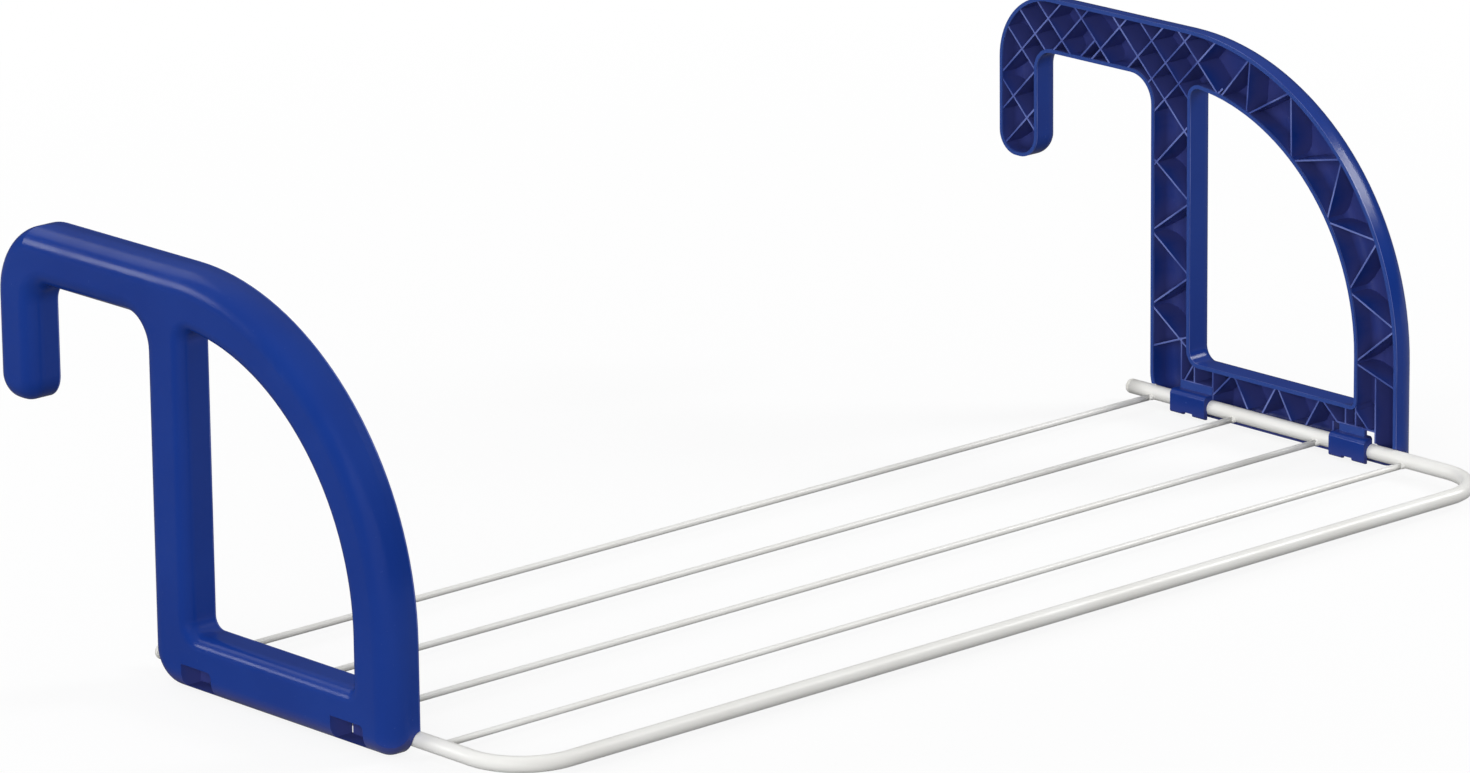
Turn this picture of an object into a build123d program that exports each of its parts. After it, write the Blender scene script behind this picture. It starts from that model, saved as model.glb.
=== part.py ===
from build123d import *
import os
from math import acos, cos, degrees, radians, sin

# Drying rack that hangs over a rail: a white wire frame between two folding hook brackets.
# Millimetres. +X runs along the drying lines, +Y points at the rail, +Z is up.
# The origin is the middle of the whole rack, on the surface that it can stand on.

# Wire frame
arm_span = 1000.0
tube_diameter = 12.0
tube_wall = 1.0
bend_radius = 48.0
wire_diameter = 5.0
line_pitch = 91.5
arm_overhang = 29.0
weld_length = 3.0
weld_spread = 0.5
weld_gap = 0.03
fold_clearance = 0.3

# Plugs in the open ends of the side arms
cap_head = 5.0
cap_dome = 4.0
cap_plug = 14.0
plug_clearance = 0.05

# Hook bracket, its outline seen along the drying lines
arm_height = 11.2
bracket_depth = 27.0
bracket_height = 315.2
post_width = 43.0
rail_gap = 129.5
tip_width = 42.5
hook_drop = 91.8
top_bar = 44.7
foot_bar = 43.4
loop_width = 180.0
arch_width = 45.0
arch_radius = 232.0
post_setback = 5.0

# Corner radii of that outline
foot_rear_round = 27.0
foot_front_round = 18.0
shoulder_round = 57.0
tip_round = 19.0
hook_round = 16.0
crook_round = 23.0
loop_foot_round = 10.0
loop_toe_round = 4.0
loop_top_round = 9.0

# Moulding: wall, rounded outer edges and ribs
wall = 3.0
crown_edge_round = 19.0
outer_edge_round = 13.5
loop_edge_round = 10.0
rib_thickness = 1.4
rib_recess = 0.8

# Snap clips under the foot bar that hold the side arm, each hung by a neck from a ledge
clip_length = 38.0
rear_clip_inset = 31.0
front_clip_inset = 25.0
clip_reach = 9.0
clip_rise = 10.0
clip_fall = 9.0
clip_mouth = 10.4
clip_top_round = 4.0
clip_low_round = 2.0
notch_width = 11.0
notch_height = 2.5
neck_setback = 3.0
neck_thickness = 3.0
front_neck_gap = 8.0
ledge_rise = 16.0
running_clearance = 0.05
channel_clearance = 0.6

# Mould windows behind the clips
rear_window_setback = 3.0
front_window_lead = 4.5
front_window_setback = 6.0
window_rise = 9.0
window_round = 4.0

# Diagonal ribs at 45 degrees, as drops from the top edge where they cross a guide line
tip_falling_drops = (-38.0, -8.0, 22.0, 73.0)
tip_rising_drops = (72.0, 103.0, 134.0)
gap_falling_drops = (25.0,)
gap_rising_drops = (39.0,)
post_falling_drops = (-26.0, 16.0, 47.0)
post_rising_drops = (15.0, 46.0, 75.0, 119.0)
lattice_reach = 35.0

# Zigzag ribs in the post, the arch and the foot bar
post_zigzag_drop = 110.0
post_zigzag_leg = 30.5
post_zigzag_legs = 5
post_tie_heights = (48.6, 64.5)
arch_lead_angles = (102.0, 108.0)
arch_zigzag_start = 111.25
arch_zigzag_step = 8.75
arch_zigzag_nodes = 9
arch_zigzag_end_height = 65.2
foot_rib_setback = 91.7
foot_rib_pitch = 47.6
foot_rib_spread = 16.0
foot_rib_count = 3
outer_leg_drop = 22.0

# Upright ribs over the clips and the struts that brace them
rear_wall_top = 61.7
rear_post_setback = 17.5
rear_post_top = 49.2
rear_strut_drop = 5.5
rear_strut_run = 11.0
front_post_setback = 8.7
toe_post_top = 51.7
bar_wall_top = 70.7
toe_strut_top = 40.2
toe_strut_run = 14.0

# Worked out from the sizes above
arm_x = arm_span / 2
arm_z = arm_height
tube_radius = tube_diameter / 2
wire_radius = wire_diameter / 2
wire_z = arm_z - wire_radius - weld_spread - fold_clearance
wire_names = ("rear_wire", "second_wire", "third_wire", "front_wire")
front_reach = len(wire_names) * line_pitch + tube_radius
rear_reach = post_setback + rail_gap + tip_width
rear_wire_y = (front_reach - rear_reach) / 2
front_tube_y = rear_wire_y - len(wire_names) * line_pitch
tube_end_y = rear_wire_y + arm_overhang - cap_head
post_rear_y = rear_wire_y + post_setback
post_front_y = post_rear_y - post_width
tip_front_y = post_rear_y + rail_gap
tip_rear_y = tip_front_y + tip_width
bracket_front_y = post_front_y - loop_width - arch_width
under_z = bracket_height - top_bar
tip_z = under_z - hook_drop
arch_y = bracket_front_y + arch_radius
arch_z = bracket_height - arch_radius
gap_middle_y = (post_rear_y + tip_front_y) / 2
bracket_length = tip_rear_y - bracket_front_y
bar_rear_y = bracket_front_y + arch_width
ledge_z = arm_z + ledge_rise
rear_clip_y = post_rear_y - rear_clip_inset
front_clip_y = bracket_front_y + front_clip_inset + clip_length
rear_pocket_rear_y = rear_clip_y - rear_window_setback
rear_pocket_front_y = rear_clip_y - clip_length
front_pocket_rear_y = front_clip_y + front_window_lead
front_pocket_front_y = front_clip_y - clip_length + front_window_setback
bar_wall_y = bracket_front_y + arch_width / 2
rim_plane = Plane.YZ.offset(arm_x)


def bracket_profile(inset):
    # Outline of the right bracket in its rim plane, drawn in from the real one by inset
    corners = (
        (post_rear_y - inset, inset),
        (bracket_front_y + inset, inset),
        (bracket_front_y + inset, bracket_height - inset),
        (tip_rear_y - inset, bracket_height - inset),
        (tip_rear_y - inset, tip_z + inset),
        (tip_front_y + inset, tip_z + inset),
        (tip_front_y + inset, under_z + inset),
        (post_rear_y - inset, under_z + inset),
    )
    rounds = (
        foot_rear_round - inset,
        foot_front_round - inset,
        arch_radius - inset,
        shoulder_round - inset,
        tip_round - inset,
        tip_round - inset,
        hook_round + inset,
        crook_round + inset,
    )
    loop_radius = arch_radius - arch_width + inset
    loop_rear_y = post_front_y + inset
    loop_front_y = arch_y - loop_radius
    loop_low_z = foot_bar - inset
    loop_angle = degrees(acos((loop_rear_y - arch_y) / loop_radius))
    with BuildSketch(rim_plane) as profile:
        with BuildLine():
            FilletPolyline(*corners, radius=rounds, close=True)
        make_face()
        with BuildLine():
            arch = CenterArc((arch_y, arch_z), loop_radius, loop_angle, 180 - loop_angle)
            Polyline(
                arch @ 1,
                (loop_front_y, loop_low_z),
                (loop_rear_y, loop_low_z),
                arch @ 0,
            )
        make_face(mode=Mode.SUBTRACT)
        foot_corner = profile.vertices().sort_by_distance((loop_rear_y, loop_low_z))[0]
        fillet(foot_corner, loop_foot_round + inset)
        toe_corner = profile.vertices().sort_by_distance((loop_front_y, loop_low_z))[0]
        fillet(toe_corner, loop_toe_round + inset)
        top_corner = profile.vertices().sort_by_distance(arch @ 0)[0]
        fillet(top_corner, loop_top_round + inset)
    return profile.sketch


def crown_block(inset):
    # Plain block whose front, arch and top edges carry the fuller rounding of the crown
    past_rear_y = tip_rear_y + shoulder_round
    below_z = -bracket_height
    with BuildPart() as block:
        with BuildSketch(rim_plane):
            with BuildLine():
                crown = FilletPolyline(
                    (bracket_front_y + inset, below_z),
                    (bracket_front_y + inset, bracket_height - inset),
                    (past_rear_y, bracket_height - inset),
                    radius=arch_radius - inset,
                )
                Polyline(crown @ 1, (past_rear_y, below_z), crown @ 0)
            make_face()
        extrude(amount=bracket_depth - inset)
        skin = block.faces().sort_by(Axis.X)[-1]
        crown_edges = skin.edges().sort_by(Axis.Z)[1:].sort_by(Axis.Y)[:-1]
        fillet(crown_edges, crown_edge_round - inset)
    return block.part


def bracket_block(inset):
    # Solid bracket with a rounded outer face, drawn in from the real one by inset
    with BuildPart() as block:
        extrude(bracket_profile(inset), amount=bracket_depth - inset)
        skin = block.faces().sort_by(Axis.X)[-1]
        loop_edges = skin.inner_wires()[0].edges()
        fillet(skin.outer_wire().edges(), outer_edge_round - inset)
        fillet(loop_edges, loop_edge_round - inset)
        add(crown_block(inset), mode=Mode.INTERSECT)
    return block.part


def falling_rib(guide_y, drop, front_y, rear_y):
    # 45 degree rib that falls towards the front, between two places along Y
    guide_z = bracket_height - drop
    start = (front_y, guide_z + front_y - guide_y)
    end = (rear_y, guide_z + rear_y - guide_y)
    return start, end


def rising_rib(guide_y, drop, front_y, rear_y):
    # 45 degree rib that rises towards the front, between two places along Y
    guide_z = bracket_height - drop
    start = (front_y, guide_z - front_y + guide_y)
    end = (rear_y, guide_z - rear_y + guide_y)
    return start, end


def lattice_ribs():
    # Crossed ribs of the hook tip, the top bar and the head of the post
    lattice_front_y = post_front_y - lattice_reach
    zones = (
        (tip_rear_y, tip_falling_drops, tip_rising_drops, gap_middle_y, tip_rear_y),
        (gap_middle_y, gap_falling_drops, gap_rising_drops, post_rear_y, tip_front_y),
        (post_rear_y, post_falling_drops, post_rising_drops, lattice_front_y, gap_middle_y),
    )
    ribs = []
    for guide_y, falling, rising, front_y, rear_y in zones:
        ribs += [falling_rib(guide_y, drop, front_y, rear_y) for drop in falling]
        ribs += [rising_rib(guide_y, drop, front_y, rear_y) for drop in rising]
    return ribs


def post_zigzag():
    # Zigzag between the two faces of the post, from the lattice down to the foot
    top_z = bracket_height - post_zigzag_drop
    faces = (post_rear_y, post_front_y)
    return [
        (faces[leg % 2], top_z - leg * post_zigzag_leg)
        for leg in range(post_zigzag_legs + 1)
    ]


def arch_zigzag():
    # Zigzag between the inner and the outer edge of the arch, down to the front bar
    radii = (arch_radius - arch_width, arch_radius)
    angles = list(arch_lead_angles)
    angles += [arch_zigzag_start + node * arch_zigzag_step for node in range(arch_zigzag_nodes)]
    nodes = []
    for number, angle in enumerate(angles):
        radius = radii[number % 2]
        turn = radians(angle)
        nodes.append((arch_y + radius * cos(turn), arch_z + radius * sin(turn)))
    nodes.append((bracket_front_y, arch_zigzag_end_height))
    return nodes


def foot_ribs():
    # Tent-shaped pairs of ribs in the foot bar, with the two outer legs set on the clips
    tents = []
    for number in range(foot_rib_count):
        peak_y = post_rear_y - foot_rib_setback - number * foot_rib_pitch
        tents.append(
            [
                (peak_y - foot_rib_spread, arm_z + tube_radius),
                (peak_y, foot_bar),
                (peak_y + foot_rib_spread, arm_z + tube_radius),
            ]
        )
    tents[0][-1] = (rear_pocket_front_y, foot_bar - outer_leg_drop)
    tents[-1][0] = (front_clip_y, ledge_z)
    return tents


def clip_ribs():
    # Ledges, pocket walls, uprights and struts round the two clips
    rear_post_y = rear_clip_y - rear_post_setback
    front_post_y = front_clip_y - front_post_setback
    toe_post_y = bar_rear_y - wall / 2
    strut_z = rear_post_top - rear_strut_drop
    return [
        ((rear_pocket_rear_y, ledge_z), (rear_pocket_front_y, ledge_z)),
        ((rear_pocket_rear_y, 0), (rear_pocket_rear_y, rear_wall_top)),
        ((rear_pocket_front_y, 0), (rear_pocket_front_y, foot_bar)),
        ((rear_post_y, ledge_z), (rear_post_y, rear_post_top)),
        ((rear_post_y, strut_z), (rear_post_y + rear_strut_run, ledge_z)),
        ((front_clip_y, ledge_z), (bar_wall_y, ledge_z)),
        ((front_pocket_rear_y, 0), (front_pocket_rear_y, ledge_z)),
        ((front_post_y, ledge_z), (front_post_y, foot_bar)),
        ((toe_post_y, ledge_z), (toe_post_y, toe_post_top)),
        ((toe_post_y, toe_strut_top), (toe_post_y - toe_strut_run, ledge_z)),
        ((bar_wall_y, 0), (bar_wall_y, bar_wall_top)),
    ]


def rib_sketch():
    # All ribs of the right bracket as thin strips
    tie = ((post_rear_y, post_tie_heights[0]), (post_front_y, post_tie_heights[1]))
    with BuildSketch(rim_plane.offset(rib_recess)) as strips:
        for start, end in lattice_ribs() + clip_ribs() + [tie]:
            with BuildLine():
                Line(start, end)
            trace(line_width=rib_thickness)
        for nodes in [post_zigzag(), arch_zigzag()] + foot_ribs():
            with BuildLine():
                Polyline(*nodes)
            trace(line_width=rib_thickness)
    return strips.sketch


def channel_section():
    # Room for the side arm along the foot bar, open below so that the arm snaps in from there
    radius = tube_radius + channel_clearance
    with BuildSketch(Plane.XZ.offset(-tip_rear_y)) as section:
        with Locations((arm_x, arm_z)):
            Circle(radius)
            Rectangle(2 * radius, 2 * arm_z, align=(Align.CENTER, Align.MAX))
    return section.sketch


def clip_section(clip_y, outer_reach):
    # Cross-section of a snap clip round the side arm, open below, as far as it goes outwards
    with BuildSketch(Plane.XZ.offset(-clip_y)) as section:
        with Locations((arm_x, arm_z - clip_fall)):
            Rectangle(2 * clip_reach, clip_rise + clip_fall, align=(Align.CENTER, Align.MIN))
        fillet(section.vertices().group_by(Axis.Y)[-1], clip_top_round)
        fillet(section.vertices().group_by(Axis.Y)[0], clip_low_round)
        with Locations((arm_x, arm_z)):
            Circle(tube_radius + running_clearance, mode=Mode.SUBTRACT)
            Rectangle(
                clip_mouth,
                2 * clip_fall,
                align=(Align.CENTER, Align.MAX),
                mode=Mode.SUBTRACT,
            )
        with Locations((arm_x + outer_reach, arm_z - clip_fall)):
            Rectangle(
                clip_reach,
                clip_rise + clip_fall,
                align=(Align.MIN, Align.MIN),
                mode=Mode.SUBTRACT,
            )
    return section.sketch


def window_sketch(rear_y, front_y):
    # Mould window in the outer wall behind a clip, from the foot up, rounded at its front end
    width = rear_y - front_y
    with BuildSketch(Plane.YZ.offset(arm_x + bracket_depth - outer_edge_round)) as window:
        with Locations((front_y, wall)):
            Rectangle(width, arm_z + window_rise - wall, align=(Align.MIN, Align.MIN))
        top_corner = window.vertices().sort_by_distance((front_y, arm_z + window_rise))[0]
        fillet(top_corner, window_round)
    return window.sketch


os.makedirs("parts", exist_ok=True)

# Ribs of the right bracket, ending inside its walls
with BuildPart() as ribs:
    extrude(rib_sketch(), amount=bracket_depth)
    add(bracket_block(wall / 2), mode=Mode.INTERSECT)

# Right bracket: an open shell with ribs, a channel for the side arm, windows and clips
with BuildPart() as right_bracket:
    add(bracket_block(0))
    add(bracket_block(wall), mode=Mode.SUBTRACT)
    add(ribs.part)
    extrude(channel_section(), amount=bracket_length, mode=Mode.SUBTRACT)
    pockets = (
        (rear_clip_y, rear_pocket_rear_y, rear_pocket_front_y + rib_thickness / 2, 0),
        (front_clip_y, front_pocket_rear_y, front_pocket_front_y, front_neck_gap),
    )
    for clip_y, pocket_rear_y, pocket_front_y, neck_gap in pockets:
        window = window_sketch(pocket_rear_y - rib_thickness / 2, pocket_front_y)
        extrude(window, amount=outer_edge_round, mode=Mode.SUBTRACT)
        extrude(clip_section(clip_y, clip_reach), amount=clip_length - neck_gap)
        extrude(clip_section(clip_y, 0), amount=clip_length)
        with Locations((arm_x, clip_y - neck_setback, arm_z + tube_radius + wall)):
            Box(
                neck_thickness,
                clip_length - neck_setback - neck_gap,
                ledge_rise - tube_radius - wall,
                align=(Align.MIN, Align.MAX, Align.MIN),
            )
        with Locations((arm_x, clip_y - clip_length / 2, arm_z - clip_fall)):
            Box(2 * clip_reach, notch_width, 2 * notch_height, mode=Mode.SUBTRACT)
right_bracket.part.label = "right_bracket"
export_step(right_bracket.part, "parts/right_bracket.step")

# Left bracket, the mirror image
with BuildPart() as left_bracket:
    mirror(right_bracket.part, about=Plane.YZ)
left_bracket.part.label = "left_bracket"
export_step(left_bracket.part, "parts/left_bracket.step")

# U-shaped tube: two side arms and the front run
with BuildPart() as frame_tube:
    with BuildLine() as route:
        FilletPolyline(
            (-arm_x, tube_end_y, arm_z),
            (-arm_x, front_tube_y, arm_z),
            (arm_x, front_tube_y, arm_z),
            (arm_x, tube_end_y, arm_z),
            radius=bend_radius,
        )
    with BuildSketch(Plane(origin=route.line @ 0, z_dir=route.line % 0)):
        Circle(tube_radius)
        Circle(tube_radius - tube_wall, mode=Mode.SUBTRACT)
    sweep()
frame_tube.part.label = "frame_tube"
export_step(frame_tube.part, "parts/frame_tube.step")

# Drying wires between the side arms, with their weld fillets, cut to sit against the tubes
weld_root_x = arm_x - tube_radius - weld_length
for number, wire_name in enumerate(wire_names):
    wire_y = rear_wire_y - number * line_pitch
    with BuildPart() as wire:
        with Locations((0, wire_y, wire_z)):
            Cylinder(wire_radius, arm_span, rotation=(0, 90, 0))
        for side in (-1, 1):
            with Locations((side * weld_root_x, wire_y, wire_z)):
                Cone(
                    wire_radius,
                    wire_radius + weld_spread,
                    weld_length + tube_radius / 2,
                    rotation=(0, side * 90, 0),
                    align=(Align.CENTER, Align.CENTER, Align.MIN),
                )
            with Locations((side * arm_x, wire_y, arm_z)):
                Cylinder(
                    tube_radius + weld_gap,
                    line_pitch,
                    rotation=(90, 0, 0),
                    mode=Mode.SUBTRACT,
                )
    wire.part.label = wire_name
    export_step(wire.part, f"parts/{wire_name}.step")

# Plugs with domed heads in the rear ends of the side arms
for cap_name, cap_x in (("left_end_cap", -arm_x), ("right_end_cap", arm_x)):
    with BuildPart() as cap:
        with BuildSketch(Plane.XZ.offset(-tube_end_y)):
            with Locations((cap_x, arm_z)):
                Circle(tube_radius)
        extrude(amount=-cap_head)
        fillet(cap.faces().sort_by(Axis.Y)[-1].edges(), cap_dome)
        with BuildSketch(Plane.XZ.offset(-tube_end_y)):
            with Locations((cap_x, arm_z)):
                Circle(tube_radius - tube_wall - plug_clearance)
        extrude(amount=cap_plug)
    cap.part.label = cap_name
    export_step(cap.part, f"parts/{cap_name}.step")
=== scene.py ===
import math

import bmesh
import bpy
from mathutils import Matrix, Vector, noise


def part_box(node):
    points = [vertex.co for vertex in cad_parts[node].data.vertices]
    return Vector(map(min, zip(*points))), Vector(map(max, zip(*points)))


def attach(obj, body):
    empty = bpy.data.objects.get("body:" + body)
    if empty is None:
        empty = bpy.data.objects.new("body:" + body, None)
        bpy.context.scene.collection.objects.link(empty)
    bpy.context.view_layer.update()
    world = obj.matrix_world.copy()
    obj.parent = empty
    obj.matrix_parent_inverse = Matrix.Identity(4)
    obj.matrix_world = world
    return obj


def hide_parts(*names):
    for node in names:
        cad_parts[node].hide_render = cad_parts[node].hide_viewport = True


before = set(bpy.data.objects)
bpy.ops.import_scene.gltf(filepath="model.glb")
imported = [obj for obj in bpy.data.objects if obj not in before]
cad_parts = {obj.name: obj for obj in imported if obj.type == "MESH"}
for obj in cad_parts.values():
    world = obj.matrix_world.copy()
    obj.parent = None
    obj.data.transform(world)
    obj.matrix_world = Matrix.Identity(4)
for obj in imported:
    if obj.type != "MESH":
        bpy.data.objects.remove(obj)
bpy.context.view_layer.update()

# Dressed model of a hang-over drying rack: white wire frame, two blue folding hook brackets.
# Metres, in the frame's own axes: +X along the drying lines, +Y towards the rail, +Z up.

MM = 0.001


def srgb(red, green, blue):
    # Linear colour of an 8-bit screen colour
    def linear(value):
        part = value / 255
        return part / 12.92 if part <= 0.04045 else ((part + 0.055) / 1.055) ** 2.4

    return (linear(red), linear(green), linear(blue), 1.0)


# Photograph frame and the camera that was worked out from it
IMAGE_WIDTH = 1470
FOCAL_PIXELS = 8339.0
SENSOR_WIDTH = 36.0
CAMERA_AIM = Vector((0.0, 0.04985, 0.1256))
CAMERA_DISTANCE = 6.2986
CAMERA_AZIMUTH = math.radians(-42.494)
CAMERA_ELEVATION = math.radians(15.875)
CAMERA_ROLL = math.radians(-0.6185)
CAMERA_REACH = 100.0

# Bent tube and the wires welded to it
BEND_RADIUS = 48 * MM
TUBE_WALL = 1 * MM
TUBE_SIDES = 40
BEND_STEPS = 18
STRAIGHT_STEP = 20 * MM
WIRE_NODES = ("rear_wire", "second_wire", "third_wire", "front_wire")
WIRE_RADIUS = 2.5 * MM
WIRE_SIDES = 28

# Weld beads: half sizes along X, Y and Z, and the uneven surface
WELD_REACH = 4.6 * MM
WELD_WIDTH = 4.2 * MM
WELD_HEIGHT = 2.7 * MM
WELD_DETAIL = 4
RIPPLE_DEPTH = 0.35 * MM
RIPPLE_SCALE = 2.2
RIPPLE_SHIFT = 400

# Brackets: planes of the open rims and of the rib edges, which carry painted highlights, and how far
# into sheltered hollows a paler blue is painted as fill light
RIM_X = 500.0 * MM
RIB_X = 500.8 * MM
EDGE_DEPTH = 0.5 * MM
INSIDE_REACH = 25 * MM
INSIDE_START = 0.85
INSIDE_FULL = 0.4

# Colours of the blue plastic
BLUE_DEEP = srgb(20, 50, 129)
BLUE_LIGHT = srgb(23, 56, 138)
# Paler, greyer blue painted into sheltered hollows: painted fill light that lifts the shade there
BLUE_PAINTED_FILL = srgb(62, 70, 137)
# Painted highlight along the open rims of the brackets
BLUE_RIM_HIGHLIGHT = srgb(46, 72, 145)
# Painted highlight along the rib edges, dimmer and brighter in patches
BLUE_RIB_HIGHLIGHT_DIM = srgb(62, 78, 148)
BLUE_RIB_HIGHLIGHT_BRIGHT = srgb(112, 126, 192)
BLUE_SCUFF = srgb(66, 88, 158)

# Colours of the powder coat and of the plugs
COAT_CREAM = srgb(236, 235, 231)
COAT_WHITE = srgb(243, 243, 240)
CAP_CREAM = srgb(224, 222, 214)
CAP_WHITE = srgb(234, 233, 228)

# Gloss of the surfaces
BLUE_IOR = 1.49
BLUE_SPECULAR = 0.16
COAT_IOR = 1.5
FLOOR_ROUGHNESS = 0.6
FLOOR_SPECULAR = 0.2

# Band that most values of a noise pattern lie in
NOISE_LOW = 0.3
NOISE_HIGH = 0.7

# Floor: soft shadow near the object, white further out, and in front a patch that glows white for
# glossy rays only, a painted reflection in the plastic
FLOOR_SIZE = 60.0
FLOOR_DROP = 0.2 * MM
SHADOW_NEAR = 0.4
SHADOW_FAR = 1.8
FLOOR_VEIL = 0.85
FLOOR_PALE = (0.97, 0.975, 0.98, 1.0)
FLOOR_BOUNCE = (0.22, 0.22, 0.22, 1.0)
SHEEN_REAR = 0.1
SHEEN_FRONT = -0.4
FLOOR_SHEEN = 0.55

# World: dim at the horizon and brighter overhead, as the object is lit by it
WORLD_WHITE = (1.0, 1.0, 1.0, 1.0)
WORLD_HORIZON = 0.08
WORLD_ZENITH = 0.6
SKY_START = 0.15

# Soft square lamps: name, place, target, size, power, light on matt surfaces, glint in glossy ones
LAMPS = (
    ("overhead", (-0.2, 2.2, 2.5), (0.0, 0.0, 0.1), 1.9, 19.0, True, False),
    ("rear_fill", (-2.5, 2.55, 1.35), (0.0, 0.0, 0.2), 1.3, 34.0, True, False),
    ("key", (-5.4, -2.2, 1.7), (0.0, 0.0, 0.1), 3.2, 150.0, True, False),
    ("front_fill", (-4.6, -4.9, 1.7), (0.0, 0.0, 0.1), 2.3, 124.0, True, False),
    ("side_fill", (2.64, -1.33, 1.93), (0.5, -0.1, 0.2), 0.9, 46.0, True, True),
    ("left_glint", (-2.6, 2.6, 0.95), (0.0, 0.0, 0.2), 0.8, 15.5, False, True),
    ("top_glint", (-1.0, 2.6, 2.4), (0.0, 0.0, 0.2), 1.4, 11.0, False, True),
)


def add_mesh(name, bm):
    # New object from a bmesh, smooth shaded
    mesh = bpy.data.meshes.new(name)
    bm.normal_update()
    bm.to_mesh(mesh)
    bm.free()
    for polygon in mesh.polygons:
        polygon.use_smooth = True
    piece = bpy.data.objects.new(name, mesh)
    bpy.context.scene.collection.objects.link(piece)
    return piece


def ring(bm, centre, side, lift, radius, sides):
    # Circle of vertices round a centre, in the plane of two unit directions
    vertices = []
    for step in range(sides):
        angle = 2 * math.pi * step / sides
        offset = side * math.cos(angle) + lift * math.sin(angle)
        vertices.append(bm.verts.new(centre + offset * radius))
    return vertices


def bridge(bm, first, second):
    # Band of faces between two rings
    count = len(first)
    for step in range(count):
        after = (step + 1) % count
        bm.faces.new((first[step], first[after], second[after], second[step]))


def feed(tree, socket, value):
    # Link a socket to another one, or set it to a plain value
    if isinstance(value, bpy.types.NodeSocket):
        tree.links.new(value, socket)
    else:
        socket.default_value = value


def calculate(tree, operation, *values):
    # Result of a math operation on sockets or plain numbers
    node = tree.nodes.new("ShaderNodeMath")
    node.operation = operation
    for socket, value in zip(node.inputs, values):
        feed(tree, socket, value)
    return node.outputs["Value"]


def map_range(tree, value, low, high, start, end):
    # Node that maps a value from one range to another and holds it there
    node = tree.nodes.new("ShaderNodeMapRange")
    feed(tree, node.inputs["Value"], value)
    feed(tree, node.inputs["From Min"], low)
    feed(tree, node.inputs["From Max"], high)
    feed(tree, node.inputs["To Min"], start)
    feed(tree, node.inputs["To Max"], end)
    return node


def seen_directly(tree):
    # 1 for rays that see the plain white background: camera, transmission and mirror-like rays
    path = tree.nodes.new("ShaderNodeLightPath").outputs
    mirror = calculate(tree, "MULTIPLY", path["Is Glossy Ray"], path["Is Singular Ray"])
    clear = calculate(tree, "MAXIMUM", mirror, path["Is Transmission Ray"])
    return calculate(tree, "MAXIMUM", clear, path["Is Camera Ray"])


class Nodes:
    # Small helper that adds nodes to a material and links them
    def __init__(self, name):
        self.material = bpy.data.materials.new(name)
        self.material.use_nodes = True
        self.tree = self.material.node_tree
        self.shader = self.tree.nodes["Principled BSDF"]
        self.output = self.tree.nodes["Material Output"]
        self.place = self.tree.nodes.new("ShaderNodeTexCoord").outputs["Object"]

    def add(self, kind, **sockets):
        node = self.tree.nodes.new(kind)
        for socket, value in sockets.items():
            feed(self.tree, node.inputs[socket], value)
        return node

    def set(self, **sockets):
        for socket, value in sockets.items():
            feed(self.tree, self.shader.inputs[socket.replace("_", " ")], value)

    def noise(self, scale, detail=2.0):
        node = self.add("ShaderNodeTexNoise", Vector=self.place, Scale=scale, Detail=detail)
        return node.outputs["Fac"]

    def ramp(self, value, low_colour, high_colour, low=NOISE_LOW, high=NOISE_HIGH):
        node = self.add("ShaderNodeValToRGB", Fac=value)
        first, last = node.color_ramp.elements
        first.position = low
        first.color = low_colour
        last.position = high
        last.color = high_colour
        return node.outputs["Color"]

    def span(self, value, start, end, low=NOISE_LOW, high=NOISE_HIGH):
        return map_range(self.tree, value, low, high, start, end).outputs["Result"]

    def mix(self, factor, first, second):
        node = self.tree.nodes.new("ShaderNodeMix")
        node.data_type = "RGBA"
        feed(self.tree, node.inputs["Factor"], factor)
        feed(self.tree, node.inputs["A"], first)
        feed(self.tree, node.inputs["B"], second)
        return node.outputs["Result"]

    def bump(self, height, strength, distance):
        return self.add("ShaderNodeBump", Height=height, Strength=strength, Distance=distance)

    def edge(self, plane):
        # 1 on faces within a small depth round the planes x = plane and x = -plane
        apart = self.add("ShaderNodeSeparateXYZ", Vector=self.place)
        away = calculate(self.tree, "ABSOLUTE", apart.outputs["X"])
        return calculate(self.tree, "COMPARE", away, plane, EDGE_DEPTH / 2)

    def relief(self, coarse, fine):
        # Surface normal with a coarse and a fine bump on top of it
        self.tree.links.new(coarse.outputs["Normal"], fine.inputs["Normal"])
        self.set(Normal=fine.outputs["Normal"])


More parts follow.
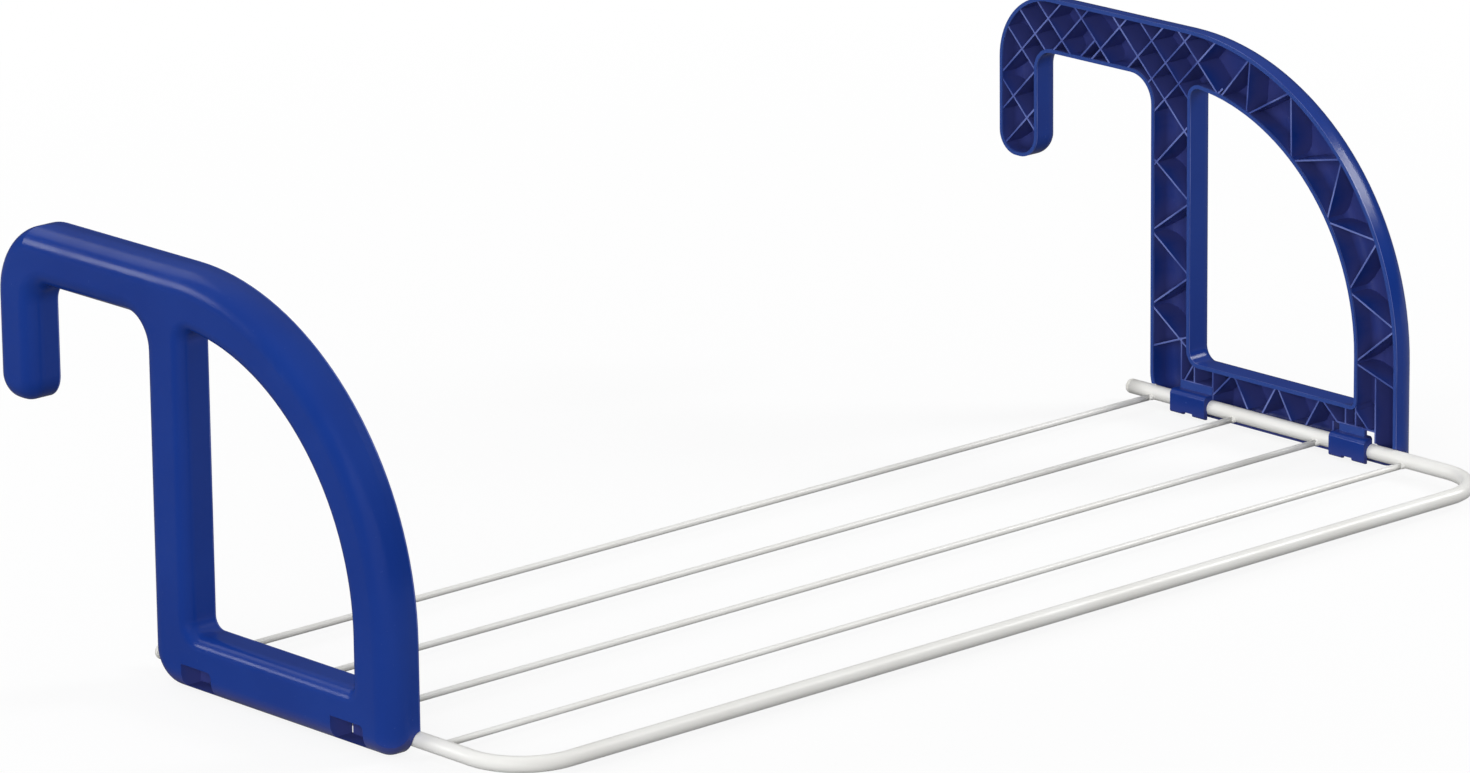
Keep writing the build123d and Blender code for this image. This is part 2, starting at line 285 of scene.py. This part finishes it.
def blue_plastic():
    # Moulded polypropylene: deep blue, semi-gloss, with flow shading, fine grain and scuffs, painted
    # highlights on the rims and rib edges, and painted fill light in the hollows
    nodes = Nodes("blue_plastic")
    flow = nodes.noise(scale=9.0, detail=3.0)
    colour = nodes.ramp(flow, BLUE_DEEP, BLUE_LIGHT)
    # Painted fill light: where ambient occlusion finds a hollow, the blue turns paler and greyer
    shelter = nodes.add("ShaderNodeAmbientOcclusion", Distance=INSIDE_REACH)
    inside = nodes.span(shelter.outputs["AO"], start=0.0, end=1.0, low=INSIDE_START, high=INSIDE_FULL)
    colour = nodes.mix(inside, colour, BLUE_PAINTED_FILL)
    # Painted highlight on the faces at the rim planes
    colour = nodes.mix(nodes.edge(RIM_X), colour, BLUE_RIM_HIGHLIGHT)
    # Painted highlight on the rib edges, patchy along their length
    rib_glint_patches = nodes.noise(scale=25.0)
    rib_highlight = nodes.ramp(rib_glint_patches, BLUE_RIB_HIGHLIGHT_DIM, BLUE_RIB_HIGHLIGHT_BRIGHT, low=0.35, high=0.65)
    colour = nodes.mix(nodes.edge(RIB_X), colour, rib_highlight)
    specks = nodes.noise(scale=420.0, detail=1.0)
    worn = nodes.span(specks, start=0.0, end=0.35, low=0.76, high=0.82)
    nodes.set(Base_Color=nodes.mix(worn, colour, BLUE_SCUFF))
    gloss = nodes.noise(scale=38.0, detail=4.0)
    nodes.set(Roughness=nodes.span(gloss, start=0.18, end=0.27))
    waves = nodes.bump(nodes.noise(scale=30.0), strength=0.25, distance=0.6 * MM)
    grain = nodes.bump(nodes.noise(scale=1500.0), strength=0.12, distance=0.15 * MM)
    nodes.relief(waves, grain)
    nodes.shader.inputs["IOR"].default_value = BLUE_IOR
    nodes.shader.inputs["Specular IOR Level"].default_value = BLUE_SPECULAR
    return nodes.material


def white_coat():
    # Powder coat on steel: soft white with orange peel and faint cream patches
    nodes = Nodes("white_coat")
    patches = nodes.noise(scale=14.0, detail=3.0)
    nodes.set(Base_Color=nodes.ramp(patches, COAT_CREAM, COAT_WHITE))
    gloss = nodes.noise(scale=60.0, detail=3.0)
    nodes.set(Roughness=nodes.span(gloss, start=0.3, end=0.42))
    peel = nodes.bump(nodes.noise(scale=520.0), strength=0.2, distance=0.2 * MM)
    sags = nodes.bump(nodes.noise(scale=90.0), strength=0.25, distance=0.4 * MM)
    nodes.relief(peel, sags)
    nodes.shader.inputs["IOR"].default_value = COAT_IOR
    return nodes.material


def cap_plastic():
    # White moulded plastic of the plugs, a little warmer and duller than the coat
    nodes = Nodes("cap_plastic")
    tint = nodes.noise(scale=160.0)
    nodes.set(Base_Color=nodes.ramp(tint, CAP_CREAM, CAP_WHITE))
    gloss = nodes.noise(scale=300.0)
    nodes.set(Roughness=nodes.span(gloss, start=0.34, end=0.46))
    grain = nodes.bump(nodes.noise(scale=1200.0), strength=0.1, distance=0.1 * MM)
    nodes.set(Normal=grain.outputs["Normal"])
    return nodes.material


def floor_material():
    # Pale floor that keeps the shadow near the object and turns plain white further out, with a
    # painted reflection in front that glows for glossy rays only
    nodes = Nodes("floor")
    tree = nodes.tree
    seen = seen_directly(tree)
    nodes.set(Base_Color=nodes.mix(seen, FLOOR_BOUNCE, FLOOR_PALE))
    nodes.shader.inputs["Roughness"].default_value = FLOOR_ROUGHNESS
    nodes.shader.inputs["Specular IOR Level"].default_value = FLOOR_SPECULAR
    white = nodes.add("ShaderNodeEmission", Strength=1.0)

    distance = nodes.add("ShaderNodeVectorMath")
    distance.operation = "LENGTH"
    tree.links.new(nodes.place, distance.inputs[0])
    fade = nodes.span(distance.outputs["Value"], FLOOR_VEIL, 1.0, low=SHADOW_NEAR, high=SHADOW_FAR)
    pale = calculate(tree, "MULTIPLY", fade, seen)

    # Painted reflection: in front of the rack the floor glows white for glossy rays only, which gives
    # the blue front faces a pale sheen
    apart = nodes.add("ShaderNodeSeparateXYZ", Vector=nodes.place)
    front = nodes.span(apart.outputs["Y"], 0.0, FLOOR_SHEEN, low=SHEEN_REAR, high=SHEEN_FRONT)
    glossy = tree.nodes.new("ShaderNodeLightPath").outputs["Is Glossy Ray"]
    sheen = calculate(tree, "MULTIPLY", front, glossy)

    blend = tree.nodes.new("ShaderNodeMixShader")
    tree.links.new(calculate(tree, "MAXIMUM", pale, sheen), blend.inputs["Fac"])
    tree.links.new(nodes.shader.outputs["BSDF"], blend.inputs[1])
    tree.links.new(white.outputs["Emission"], blend.inputs[2])
    tree.links.new(blend.outputs["Shader"], nodes.output.inputs["Surface"])
    return nodes.material


# Places on the wire frame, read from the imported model
tube_low, tube_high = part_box("frame_tube")
tube_radius = (tube_high.z - tube_low.z) / 2
arm_x = tube_high.x - tube_radius
arm_z = (tube_high.z + tube_low.z) / 2
tube_end_y = tube_high.y
front_y = tube_low.y + tube_radius


def tube_route():
    # Points and directions along the U-shaped tube's axis, from one rear end to the other
    route = []
    bend_y = front_y + BEND_RADIUS
    bend_x = arm_x - BEND_RADIUS
    arm_steps = math.ceil((tube_end_y - bend_y) / STRAIGHT_STEP)
    run_steps = math.ceil(2 * bend_x / STRAIGHT_STEP)
    for step in range(arm_steps):
        y = tube_end_y + (bend_y - tube_end_y) * step / arm_steps
        route.append((Vector((-arm_x, y, arm_z)), Vector((0, -1, 0))))
    for step in range(BEND_STEPS):
        angle = math.pi / 2 * step / BEND_STEPS
        x = -bend_x - BEND_RADIUS * math.cos(angle)
        y = bend_y - BEND_RADIUS * math.sin(angle)
        route.append((Vector((x, y, arm_z)), Vector((math.sin(angle), -math.cos(angle), 0))))
    for step in range(run_steps):
        x = -bend_x + 2 * bend_x * step / run_steps
        route.append((Vector((x, front_y, arm_z)), Vector((1, 0, 0))))
    for step in range(BEND_STEPS):
        angle = math.pi / 2 * step / BEND_STEPS
        x = bend_x + BEND_RADIUS * math.sin(angle)
        y = bend_y - BEND_RADIUS * math.cos(angle)
        route.append((Vector((x, y, arm_z)), Vector((math.cos(angle), math.sin(angle), 0))))
    for step in range(arm_steps + 1):
        y = bend_y + (tube_end_y - bend_y) * step / arm_steps
        route.append((Vector((arm_x, y, arm_z)), Vector((0, 1, 0))))
    return route


def build_tube():
    # Bent tube with its bore, open at both rear ends
    bm = bmesh.new()
    up = Vector((0, 0, 1))
    skins = []
    for radius in (tube_radius, tube_radius - TUBE_WALL):
        rings = [
            ring(bm, place, up.cross(heading), up, radius, TUBE_SIDES)
            for place, heading in tube_route()
        ]
        for first, second in zip(rings, rings[1:]):
            bridge(bm, first, second)
        skins.append(rings)
    outer, inner = skins
    bridge(bm, outer[0], inner[0])
    bridge(bm, outer[-1], inner[-1])
    bmesh.ops.recalc_face_normals(bm, faces=bm.faces)
    return add_mesh("tube_visual", bm)


def build_wire(node):
    # Round wire between the arms, ending inside the tube walls, and the place of its right end
    low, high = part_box(node)
    y = (low.y + high.y) / 2
    z = high.z - WIRE_RADIUS
    end_x = arm_x - math.sqrt(tube_radius**2 - (arm_z - z) ** 2) + TUBE_WALL / 2
    steps = math.ceil(2 * end_x / STRAIGHT_STEP)
    bm = bmesh.new()
    side = Vector((0, 1, 0))
    lift = Vector((0, 0, 1))
    rings = []
    for step in range(steps + 1):
        x = -end_x + 2 * end_x * step / steps
        rings.append(ring(bm, Vector((x, y, z)), side, lift, WIRE_RADIUS, WIRE_SIDES))
    for first, second in zip(rings, rings[1:]):
        bridge(bm, first, second)
    bm.faces.new(rings[0])
    bm.faces.new(rings[-1])
    bmesh.ops.recalc_face_normals(bm, faces=bm.faces)
    return add_mesh(node + "_visual", bm), Vector((end_x, y, z))


def build_weld(name, place, side):
    # Uneven weld fillet where a wire meets a side arm
    bm = bmesh.new()
    bmesh.ops.create_icosphere(bm, subdivisions=WELD_DETAIL, radius=1.0)
    stretch = Vector((WELD_REACH, WELD_WIDTH, WELD_HEIGHT))
    centre = Vector((side * place.x, place.y, place.z))
    for vertex in bm.verts:
        outward = vertex.co.copy()
        ripple = noise.noise(outward * RIPPLE_SCALE + place * RIPPLE_SHIFT) * RIPPLE_DEPTH
        vertex.co = Vector(a * b for a, b in zip(outward, stretch)) + outward * ripple
        vertex.co += centre
    return add_mesh(name, bm)


# Materials on the CAD nodes that stay
blue = blue_plastic()
white = white_coat()
cap_white = cap_plastic()

for name in ("left_bracket", "right_bracket"):
    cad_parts[name].data.materials.clear()
    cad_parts[name].data.materials.append(blue)
for name in ("left_end_cap", "right_end_cap"):
    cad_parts[name].data.materials.clear()
    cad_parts[name].data.materials.append(cap_white)

# Tube, wires and welds in place of the plain ones
tube = build_tube()
tube.data.materials.append(white)
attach(tube, "frame")
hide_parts("frame_tube")

for node in WIRE_NODES:
    wire, wire_end = build_wire(node)
    wire.data.materials.append(white)
    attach(wire, "frame")
    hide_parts(node)
    for side_name, side in (("left", -1), ("right", 1)):
        weld = build_weld(f"{node}_weld_{side_name}", wire_end, side)
        weld.data.materials.append(white)
        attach(weld, "frame")


def add_lamp(name, place, target, size, power, matt, gloss):
    # Soft square lamp that faces a target and lights matt surfaces, glossy ones or both
    light = bpy.data.lights.new(name, "AREA")
    light.shape = "SQUARE"
    light.size = size
    light.energy = power
    lamp = bpy.data.objects.new(name, light)
    lamp.location = place
    lamp.rotation_euler = (Vector(target) - Vector(place)).to_track_quat("-Z", "Y").to_euler()
    lamp.visible_diffuse = matt
    lamp.visible_glossy = gloss
    bpy.context.scene.collection.objects.link(lamp)


def build_stage():
    # Floor, lamps and a world that looks white and fills the shadows
    bpy.ops.mesh.primitive_plane_add(size=FLOOR_SIZE, location=(0, 0, -FLOOR_DROP))
    floor = bpy.context.object
    floor.name = "floor"
    floor.data.materials.append(floor_material())

    for lamp in LAMPS:
        add_lamp(*lamp)

    world = bpy.data.worlds.new("world")
    bpy.context.scene.world = world
    world.use_nodes = True
    tree = world.node_tree
    background = tree.nodes["Background"]
    background.inputs["Color"].default_value = WORLD_WHITE
    sky = tree.nodes.new("ShaderNodeTexCoord")
    apart = tree.nodes.new("ShaderNodeSeparateXYZ")
    tree.links.new(sky.outputs["Generated"], apart.inputs["Vector"])
    fill = map_range(tree, apart.outputs["Z"], SKY_START, 1.0, WORLD_HORIZON, WORLD_ZENITH)
    fill.interpolation_type = "SMOOTHSTEP"
    strength = map_range(tree, seen_directly(tree), 0.0, 1.0, fill.outputs["Result"], 1.0)
    tree.links.new(strength.outputs["Result"], background.inputs["Strength"])


def build_camera():
    # Camera at the photograph's viewpoint, with its long lens and slight roll
    back = Vector(
        (
            math.sin(CAMERA_AZIMUTH) * math.cos(CAMERA_ELEVATION),
            -math.cos(CAMERA_AZIMUTH) * math.cos(CAMERA_ELEVATION),
            math.sin(CAMERA_ELEVATION),
        )
    )
    level = Vector((0, 0, 1)).cross(back).normalized()
    rise = back.cross(level)
    right = level * math.cos(CAMERA_ROLL) + rise * math.sin(CAMERA_ROLL)
    up = back.cross(right)
    turn = Matrix((right, up, back)).transposed().to_4x4()
    data = bpy.data.cameras.new("camera")
    data.sensor_width = SENSOR_WIDTH
    data.lens = FOCAL_PIXELS * SENSOR_WIDTH / IMAGE_WIDTH
    data.clip_end = CAMERA_REACH
    camera = bpy.data.objects.new("camera", data)
    camera.matrix_world = Matrix.Translation(CAMERA_AIM + back * CAMERA_DISTANCE) @ turn
    bpy.context.scene.collection.objects.link(camera)
    bpy.context.scene.camera = camera


build_stage()
build_camera()
bpy.context.scene.view_settings.view_transform = "Standard"
